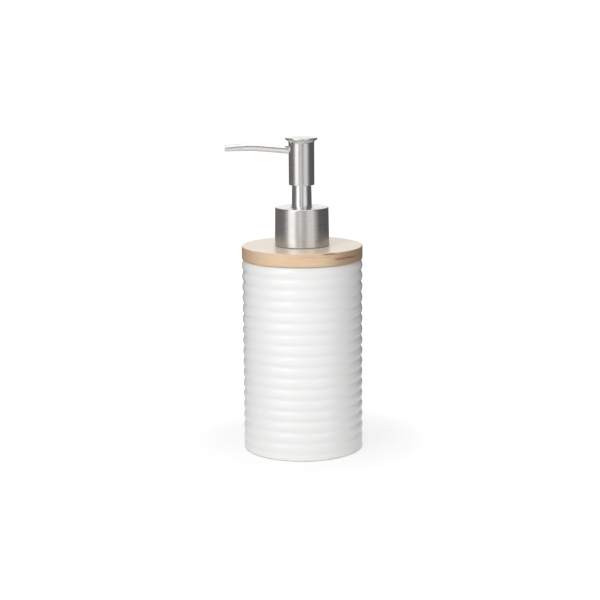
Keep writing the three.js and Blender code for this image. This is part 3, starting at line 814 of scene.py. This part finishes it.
def head_shell():
    """A steel tube with a rolled lower edge and a hole for the spout."""
    radius, bottom, top = extent("head_shell")
    body = lathe([
        (HEAD_BORE_RADIUS, bottom, 0.2),
        (radius, bottom, 0.45),
        (radius, top, 0.04),
        (HEAD_BORE_RADIUS, top),
    ], OUTER_SIDES)
    return cut(body, spout_bore())


def head_cap():
    """The thumb rest: a plug in the shell's top and a trumpet that opens to a thin round rim."""
    rim_radius, bottom, top = extent("head_cap")
    shell = extent("head_shell")
    seat = shell.top + SEAT_GAP
    rim_bottom = top - CAP_RIM_THICKNESS
    plug_radius = HEAD_BORE_RADIUS - SOCKET_GAP
    trumpet = []
    for step in range(1, TRUMPET_STEPS):
        share = step / TRUMPET_STEPS
        flare = (rim_radius - shell.radius) * share ** TRUMPET_CURVE
        trumpet.append((shell.radius + flare, seat + (rim_bottom - seat) * share))
    return lathe([
        (0, bottom),
        (plug_radius, bottom, 0.3),
        (plug_radius, seat),
        (shell.radius, seat, 0.04),
        *trumpet,
        (rim_radius, rim_bottom, 0.2),
        (rim_radius, top, 0.4),
        (rim_radius - CAP_RIM_WIDTH, top),
        (0, top),
    ], OUTER_SIDES)


# ---- materials -----------------------------------------------------------------------------------


# The glaze stops between these heights, in metres.
GLAZE_EDGE = (0.0006, 0.0011)

# The lid's growth rings, in metres: their spacing, and the line along X that they run round.
RING_SPACING = 0.0021
PITH_Y = 0.05
PITH_Z = -0.25

# Dark streaks that run along X in the lid's edge: height over the rim, start and end, in metres.
LID_STREAKS = (
    (0.0041, 0.021, 0.033),
    (0.0074, 0.014, 0.021),
)
STREAK_WANDER = 0.0012
STREAK_FADE = 0.004


class Finish:
    """A material under construction: short calls for the nodes that feed one Principled shader."""

    def __init__(self, name, **sockets):
        self.material = bpy.data.materials.new(name)
        self.material.use_nodes = True
        self.tree = self.material.node_tree
        self.shader = self.tree.nodes["Principled BSDF"]
        for socket, value in sockets.items():
            self.shader.inputs[socket.replace("_", " ")].default_value = value

    def add(self, kind, inputs, **settings):
        """A new node. Each input takes another node's output or a value."""
        node = self.tree.nodes.new("ShaderNode" + kind)
        for name, value in settings.items():
            setattr(node, name, value)
        for key, value in inputs.items():
            if isinstance(value, bpy.types.NodeSocket):
                self.tree.links.new(value, node.inputs[key])
            else:
                node.inputs[key].default_value = value
        return node

    def feed(self, socket, value):
        self.tree.links.new(value, self.shader.inputs[socket])

    def place(self):
        """Position on the piece, in metres in the row frame."""
        return self.add("TexCoord", {}).outputs["Object"]

    def scaled(self, vector, scale):
        return self.add("VectorMath", {0: vector, 1: scale}, operation="MULTIPLY").outputs[0]

    def axis(self, name):
        return self.add("SeparateXYZ", {0: self.place()}).outputs[name]

    def radius(self):
        """Distance from the Z axis."""
        flat = self.scaled(self.place(), (1, 1, 0))
        return self.add("VectorMath", {0: flat}, operation="LENGTH").outputs["Value"]

    def math(self, operation, first, second=0.0):
        return self.add("Math", {0: first, 1: second}, operation=operation).outputs[0]

    def noise(self, vector, scale, detail=3.0, roughness=0.5):
        """Noise whose features are about 1/scale long, in the vector's unit."""
        inputs = {"Vector": vector, "Scale": scale, "Detail": detail, "Roughness": roughness}
        return self.add("TexNoise", inputs).outputs["Fac"]

    def between(self, value, low, high, to_low=0.0, to_high=1.0):
        """The value's range from low to high, mapped smoothly and held at its ends."""
        inputs = {"Value": value, "From Min": low, "From Max": high,
                  "To Min": to_low, "To Max": to_high}
        return self.add("MapRange", inputs, interpolation_type="SMOOTHSTEP").outputs["Result"]

    def mix(self, factor, first, second):
        """A blend of two colours, each another node's output or three numbers."""
        colours = [c if isinstance(c, bpy.types.NodeSocket) else (*c, 1) for c in (first, second)]
        inputs = {"Factor": factor, 6: colours[0], 7: colours[1]}
        return self.add("Mix", inputs, data_type="RGBA").outputs[2]

    def bump(self, height, depth, under=None):
        """Raises the surface by the height, which runs from 0 to 1 and stands for a depth."""
        inputs = {"Height": height, "Distance": depth, "Strength": 1.0}
        if under:
            inputs["Normal"] = under
        return self.add("Bump", inputs).outputs["Normal"]


def glaze_finish():
    """Glossy white glaze, thinner on the crests of the ribs, over buff clay bare at the foot."""
    look = Finish("white_glaze", IOR=1.5)
    outer = extent("ceramic_bottle").radius * MM
    place = look.place()
    in_valley = look.between(look.radius(), outer - RIB_DEPTH * MM, outer, 1, 0)
    pooled = look.mix(in_valley, (0.915, 0.91, 0.9), (0.94, 0.945, 0.945))
    mottle = look.between(look.noise(place, 90), 0.35, 0.65, 0, 0.35)
    glazed = look.mix(mottle, pooled, (0.90, 0.90, 0.885))
    speckle = look.between(look.noise(place, 1500, 2), 0.6, 0.75)
    clay = look.mix(speckle, (0.63, 0.49, 0.38), (0.38, 0.27, 0.2))
    ragged = look.math("MULTIPLY", look.noise(place, 150), 0.0005)
    edge = look.math("ADD", look.axis("Z"), ragged)
    is_glazed = look.between(edge, *GLAZE_EDGE)
    look.feed("Base Color", look.mix(is_glazed, clay, glazed))
    smears = look.between(look.noise(place, 45), 0.3, 0.7, 0.13, 0.2)
    bare = look.math("SUBTRACT", 1.0, is_glazed)
    look.feed("Roughness", look.math("ADD", smears, look.math("MULTIPLY", bare, 0.6)))
    ripple = look.bump(look.noise(place, 320, 2), 0.00006)
    grit = look.math("MULTIPLY", look.noise(place, 4000, 2), bare)
    look.feed("Normal", look.bump(grit, 0.00008, ripple))
    return look.material


def lid_streak(look, rim, height, start, end):
    """How much of a dark streak shows at a place, from 0 to 1. It wanders and fades at its ends."""
    uneven = look.noise(look.scaled(look.place(), (180, 180, 0)), 1, 3)
    wander = look.math("MULTIPLY", uneven, STREAK_WANDER)
    level = look.math("ADD", look.axis("Z"), wander)
    middle = rim + height + STREAK_WANDER / 2
    off = look.math("ABSOLUTE", look.math("SUBTRACT", level, middle))
    thin = look.between(off, 0.0001, 0.0008, 0.9, 0)
    begun = look.between(look.axis("X"), start - STREAK_FADE, start)
    ended = look.between(look.axis("X"), end - STREAK_FADE, end, 1, 0)
    lid_radius = extent("wooden_lid").radius * MM
    in_edge = look.between(look.radius(), lid_radius - 0.0009, lid_radius - 0.0003)
    along = look.math("MULTIPLY", begun, ended)
    return look.math("MULTIPLY", thin, look.math("MULTIPLY", along, in_edge))


def wood_grain(look):
    """The colour of close-grained wood with warm and pale patches, and the noise of its fibres.

    The growth rings lie almost level, so they show as long lines round the edge of the lid.
    """
    place = look.place()
    warp = look.noise(look.scaled(place, (10, 26, 26)), 1, 3)
    from_pith = look.add("VectorMath", {
        0: look.scaled(place, (0, 1, 1)),
        1: (0, PITH_Y, PITH_Z),
    }, operation="SUBTRACT").outputs[0]
    ring = look.add("VectorMath", {0: from_pith}, operation="LENGTH").outputs["Value"]
    ring = look.math("ADD", ring, look.math("MULTIPLY", warp, 0.008))
    band = look.math("SINE", look.math("MULTIPLY", ring, 2 * math.pi / RING_SPACING))
    late = look.between(band, 0.1, 1, 0, 0.55)
    colour = look.mix(late, (0.80, 0.585, 0.385), (0.73, 0.50, 0.31))
    patch = look.between(look.noise(look.scaled(place, (42, 42, 150)), 1, 2), 0.4, 0.62)
    colour = look.mix(look.math("MULTIPLY", patch, 0.45), colour, (0.84, 0.565, 0.36))
    pale = look.between(look.noise(look.scaled(place, (30, 55, 190)), 1, 2), 0.45, 0.65)
    colour = look.mix(look.math("MULTIPLY", pale, 0.35), colour, (0.77, 0.62, 0.385))
    fibre = look.noise(look.scaled(place, (70, 900, 2200)), 1, 4, 0.6)
    fine = look.between(fibre, 0.42, 0.72, 0, 0.3)
    colour = look.mix(fine, colour, (0.58, 0.39, 0.235))
    streaky = look.noise(look.scaled(place, (30, 160, 900)), 1, 2)
    streak = look.between(streaky, 0.65, 0.78, 0, 0.5)
    return look.mix(streak, colour, (0.36, 0.16, 0.09)), fibre


def wood_shade(look, colour):
    """The colour: darker end grain, painted shade towards +X and painted light on top."""
    facing = look.add("SeparateXYZ", {0: look.add("TexCoord", {}).outputs["Normal"]})
    end_grain = look.between(look.math("ABSOLUTE", facing.outputs["X"]), 0.6, 1, 0, 0.5)
    colour = look.mix(end_grain, colour, (0.50, 0.32, 0.20))
    # Painted shade: faces towards +X are darker, as the side away from the lights.
    painted_shade_plus_x = look.between(facing.outputs["X"], 0.3, 0.75, 0, 0.8)
    colour = look.mix(painted_shade_plus_x, colour, (0.46, 0.30, 0.19))
    # Painted light: upward faces are paler, as if lit from above.
    painted_light_top = look.between(facing.outputs["Z"], 0.5, 1, 0, 0.72)
    return look.mix(painted_light_top, colour, (0.95, 0.84, 0.70))


def wood_finish():
    """Pale wood under a satin varnish, a few dark streaks, and painted shade on the lower corner.
    """
    look = Finish("light_wood", IOR=1.45, Coat_Weight=0.8, Coat_Roughness=0.28)
    colour, fibre = wood_grain(look)
    colour = wood_shade(look, colour)
    rim = (extent("ceramic_bottle").top + SEAT_GAP) * MM
    for facts in LID_STREAKS:
        colour = look.mix(lid_streak(look, rim, *facts), colour, (0.27, 0.115, 0.07))
    # Painted shade: a darker band along the lid's rounded lower corner.
    corner = look.between(look.axis("Z"), rim + 0.0003, rim + 0.0009, 0.65, 0)
    colour = look.mix(corner, colour, (0.42, 0.25, 0.15))
    look.feed("Base Color", colour)
    look.feed("Roughness", look.between(fibre, 0.3, 0.7, 0.38, 0.5))
    look.feed("Normal", look.bump(fibre, 0.00003))
    return look.material


def brush_marks(look, along, across):
    """Fine scratches round the axis: on a wall they run level, and on a flat top in rings."""
    climb = look.math("ADD", look.axis("Z"), look.radius())
    level = look.scaled(look.place(), (along, along, 0))
    steep = look.add("CombineXYZ", {2: look.math("MULTIPLY", climb, across)}).outputs[0]
    vector = look.add("VectorMath", {0: level, 1: steep}, operation="ADD").outputs[0]
    return look.noise(vector, 1, 3, 0.6)


def turned_tangent(look):
    """Stretches highlights across the brush marks."""
    tangent = look.add("Tangent", {}, direction_type="RADIAL", axis="Z").outputs[0]
    look.feed("Tangent", tangent)


def brushed_steel_finish():
    """Stainless steel brushed on a lathe, with faint handling smudges."""
    look = Finish("brushed_steel", Metallic=1, Anisotropic=0.65, Anisotropic_Rotation=0.25)
    fine = brush_marks(look, 60, 9000)
    broad = brush_marks(look, 25, 1400)
    marks = look.math("ADD", look.math("MULTIPLY", fine, 0.6), look.math("MULTIPLY", broad, 0.4))
    tone = look.between(marks, 0.35, 0.65)
    look.feed("Base Color", look.mix(tone, (0.72, 0.705, 0.69), (0.78, 0.765, 0.75)))
    smudge = look.between(look.noise(look.place(), 110), 0.4, 0.7, 0, 0.04)
    rough = look.between(marks, 0.3, 0.7, 0.26, 0.32)
    look.feed("Roughness", look.math("ADD", rough, smudge))
    look.feed("Normal", look.bump(marks, 0.000012))
    turned_tangent(look)
    return look.material


def polished_steel_finish():
    """Drawn and polished stainless steel: fine marks are only just left."""
    look = Finish("polished_steel", Metallic=1, Anisotropic=0.3, Anisotropic_Rotation=0.25)
    marks = brush_marks(look, 50, 7000)
    look.feed("Base Color", look.mix(marks, (0.79, 0.78, 0.77), (0.86, 0.85, 0.84)))
    smudge = look.noise(look.place(), 160)
    look.feed("Roughness", look.between(smudge, 0.3, 0.7, 0.17, 0.25))
    look.feed("Normal", look.bump(marks, 0.000004))
    turned_tangent(look)
    return look.material


def plastic_finish(name, light, dark, rough, **sockets):
    """Moulded plastic: faint flow tones, and a fine spark-eroded texture from the mould."""
    look = Finish(name, IOR=1.49, **sockets)
    flow = look.noise(look.scaled(look.place(), (90, 90, 30)), 1, 2)
    look.feed("Base Color", look.mix(look.between(flow, 0.3, 0.7), dark, light))
    grain = look.noise(look.place(), 3200, 2)
    look.feed("Roughness", look.between(grain, 0.3, 0.7, rough - 0.05, rough + 0.07))
    look.feed("Normal", look.bump(grain, 0.00001))
    return look.material


# ---- studio --------------------------------------------------------------------------------------

# Curved panels round the dispenser, which light it or show dark in its steel. Angles are degrees
# round from the camera's side, to the right; the others are metres, and the glow is relative to
# white: (start, end, distance, bottom, top, glow).
PANELS = {
    "key": (-37, -19, 0.6, 0.30, 0.7, 3.0),
    "softbox_left": (-60, -29, 0.62, 0.0, 0.7, 1.5),
    "card_front": (-29, 20, 0.62, 0.0, 0.7, 0.42),
    "card_spout": (-11, -2, 0.3, 0.08, 0.26, 0.9),
    "softbox_right": (20, 54, 0.62, 0.0, 0.45, 0.9),
    "flag_left": (-166, -76, 0.3, 0.0, 0.6, 0.16),
    "flag_right": (68, 166, 0.26, 0.0, 0.6, 0.11),
    "backdrop": (164, 196, 0.62, 0.15, 0.8, 1.1),
    "card_back": (160, 200, 0.64, 0.0, 0.15, 0.12),
}
PANEL_STEP = 4
AMBIENT = 0.1

# Light round the dispenser: it changes smoothly between two radii, in metres, from a glow inside
# the first to a glow outside the second. One is what the camera sees of the floor, and the other
# is what reaches the dispenser from below.
# The floor glows less near the foot: painted shade round the dispenser.
FLOOR_GLOW = (0.04, 0.16, 0.72, 1.0)
BOUNCE_GLOW = (0.06, 0.2, 0.68, 0.5)

# A bright card that lies in front: its left, right, front and back in metres.
TABLE_CARD = (-0.13, 0.1, -0.48, -0.11)
TABLE_CARD_GLOW = 0.95

# In millimetres.
FLOOR_RADIUS = 6000
FLOOR_DROP = 0.03
FLOOR_SIDES = 64
SURROUND_RADIUS = 8000
SURROUND_SIDES = 48
SURROUND_GLOW = 1.2

# Soft lights: place, width and depth in metres, power in watts. They face one point.
LIT_POINT = (0, 0, 0.09)
OVERHEAD = ((-0.05, 0, 1.25), 1.6, 2.0, 13.5)
FILL = ((-0.12, -1.0, 0.12), 0.7, 0.5, 2.5)


def glow(name, strength=1.0):
    """A black surface that shines white."""
    look = Finish(name, Base_Color=(0, 0, 0, 1), Specular_IOR_Level=0, Roughness=1)
    look.shader.inputs["Emission Color"].default_value = (1, 1, 1, 1)
    look.shader.inputs["Emission Strength"].default_value = strength
    return look


def stage_piece(name, mesh, material):
    piece = bpy.data.objects.new(name, mesh)
    bpy.context.scene.collection.objects.link(piece)
    mesh.materials.append(material)
    return piece


def add_panel(name, start, end, distance, bottom, top, strength):
    """A curved wall that lights the dispenser, unseen by the camera, and casts no shadow."""
    count = max(2, round((end - start) / PANEL_STEP))
    points = []
    for step in range(count + 1):
        angle = math.radians(start + (end - start) * step / count)
        for level in (bottom, top):
            points.append((
                distance * math.sin(angle) / MM,
                -distance * math.cos(angle) / MM,
                level / MM,
            ))
    faces = [(2 * k, 2 * k + 2, 2 * k + 3, 2 * k + 1) for k in range(count)]
    panel = stage_piece(name, new_mesh(points, faces), glow(name, strength).material)
    panel.visible_camera = False
    panel.visible_shadow = False


def add_floor():
    """A white sweep, lit mostly from within, that takes only faint shadows.

    It sends no light up: the bounce below it does.
    """
    look = Finish("floor", Roughness=0.9, Specular_IOR_Level=0.2)
    unevenness = look.noise(look.place(), 6)
    look.feed("Base Color", look.mix(unevenness, (0.29, 0.29, 0.29), (0.31, 0.31, 0.31)))
    look.shader.inputs["Emission Color"].default_value = (1, 1, 1, 1)
    # Dimmer glow near the foot: painted shade round the dispenser.
    look.feed("Emission Strength", look.between(look.radius(), *FLOOR_GLOW))
    floor = stage_piece("floor", disc(FLOOR_DROP), look.material)
    light = glow("bounce")
    light.feed("Emission Strength", light.between(light.radius(), *BOUNCE_GLOW))
    bounce = stage_piece("bounce", disc(2 * FLOOR_DROP), light.material)
    for unseen in (floor, bounce):
        unseen.visible_shadow = False
    floor.visible_diffuse = False
    floor.visible_glossy = False
    floor.visible_transmission = False
    bounce.visible_camera = False


def add_table_card():
    """A bright card that lies in front and shows in the spout's underside."""
    left, right, front, back = TABLE_CARD
    depth = 1.5 * FLOOR_DROP
    corners = ((left, front), (right, front), (right, back), (left, back))
    points = [(x / MM, y / MM, -depth) for x, y in corners]
    card = stage_piece("card_table", new_mesh(points, [(0, 1, 2, 3)]),
                       glow("card_table", TABLE_CARD_GLOW).material)
    card.visible_camera = False
    card.visible_shadow = False


def disc(depth):
    """A wide, thin disc whose top is at a depth below the bottle's foot."""
    return lathe([
        (0, -depth - 1),
        (FLOOR_RADIUS, -depth - 1),
        (FLOOR_RADIUS, -depth),
        (0, -depth),
    ], FLOOR_SIDES)


def add_dome():
    """A white surround that only the camera sees."""
    steps = SURROUND_SIDES // 2
    outline = [(0, -SURROUND_RADIUS)]
    for step in range(1, steps):
        angle = math.pi * step / steps
        outline.append((SURROUND_RADIUS * math.sin(angle), -SURROUND_RADIUS * math.cos(angle)))
    outline.append((0, SURROUND_RADIUS))
    mesh = lathe(outline, SURROUND_SIDES)
    dome = stage_piece("surround", mesh, glow("surround", SURROUND_GLOW).material)
    dome.visible_diffuse = False
    dome.visible_glossy = False
    dome.visible_transmission = False
    dome.visible_shadow = False


def add_softlight(name, place, width, depth, power):
    """A large soft light that faces the dispenser's middle."""
    data = bpy.data.lights.new(name, "AREA")
    data.shape = "RECTANGLE"
    data.size = width
    data.size_y = depth
    data.energy = power
    light = bpy.data.objects.new(name, data)
    light.location = place
    facing = Vector(LIT_POINT) - Vector(place)
    light.rotation_euler = facing.to_track_quat("-Z", "Y").to_euler()
    bpy.context.scene.collection.objects.link(light)
    return light


def build_studio():
    add_floor()
    add_table_card()
    add_dome()
    add_softlight("overhead", *OVERHEAD)
    add_softlight("fill", *FILL).visible_glossy = False
    for name, facts in PANELS.items():
        add_panel(name, *facts)
    world = bpy.data.worlds.new("world")
    world.use_nodes = True
    background = world.node_tree.nodes["Background"]
    background.inputs["Color"].default_value = (AMBIENT, AMBIENT, AMBIENT, 1)
    bpy.context.scene.world = world
    bpy.context.scene.view_settings.view_transform = "Standard"


# ---- assembly ------------------------------------------------------------------------------------


def build_pieces():
    glaze = glaze_finish()
    wood = wood_finish()
    brushed = brushed_steel_finish()
    polished = polished_steel_finish()
    silicone = plastic_finish("silicone", (0.83, 0.83, 0.80), (0.78, 0.78, 0.75), 0.55)
    white = plastic_finish("white_plastic", (0.90, 0.90, 0.89), (0.85, 0.85, 0.84), 0.38)
    natural = plastic_finish("natural_plastic", (0.86, 0.89, 0.89), (0.80, 0.84, 0.84), 0.32,
                             Transmission_Weight=0.45)
    soft = plastic_finish("piston_plastic", (0.87, 0.88, 0.86), (0.82, 0.83, 0.80), 0.42)
    add_piece("ceramic_bottle", ceramic_bottle(), glaze)
    add_piece("wooden_lid", wooden_lid(), wood)
    add_piece("lid_seal_ring", lid_seal_ring(), silicone)
    add_piece("neck_insert", neck_insert(), white)
    add_piece("closure_shell", closure_shell(), brushed)
    add_piece("closure_cap", closure_cap(), white)
    add_piece("closure_gasket", closure_gasket(), silicone)
    add_piece("pump_housing", pump_housing(), natural)
    add_piece("stem_guide", stem_guide(), white)
    add_piece("stem_sleeve", stem_sleeve(), polished)
    add_piece("dip_tube", dip_tube(), natural)
    add_piece("inlet_ball", valve_ball("inlet_ball"), polished)
    add_piece("piston", piston(), soft)
    add_piece("stem", stem(), white)
    add_piece("piston_retainer", piston_retainer(), white)
    add_piece("outlet_ball", valve_ball("outlet_ball"), polished)
    add_piece("head_core", head_core(), white)
    add_piece("head_shell", head_shell(), brushed)
    add_piece("head_cap", head_cap(), brushed)
    add_piece("spout_tube", spout_tube(), polished)
    add_spring(polished)


def add_spring(material):
    """The return spring, on a mesh of its own."""
    spring = add_piece("return_spring", return_spring(), material)
    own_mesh(spring)


make_camera()
build_studio()
build_pieces()
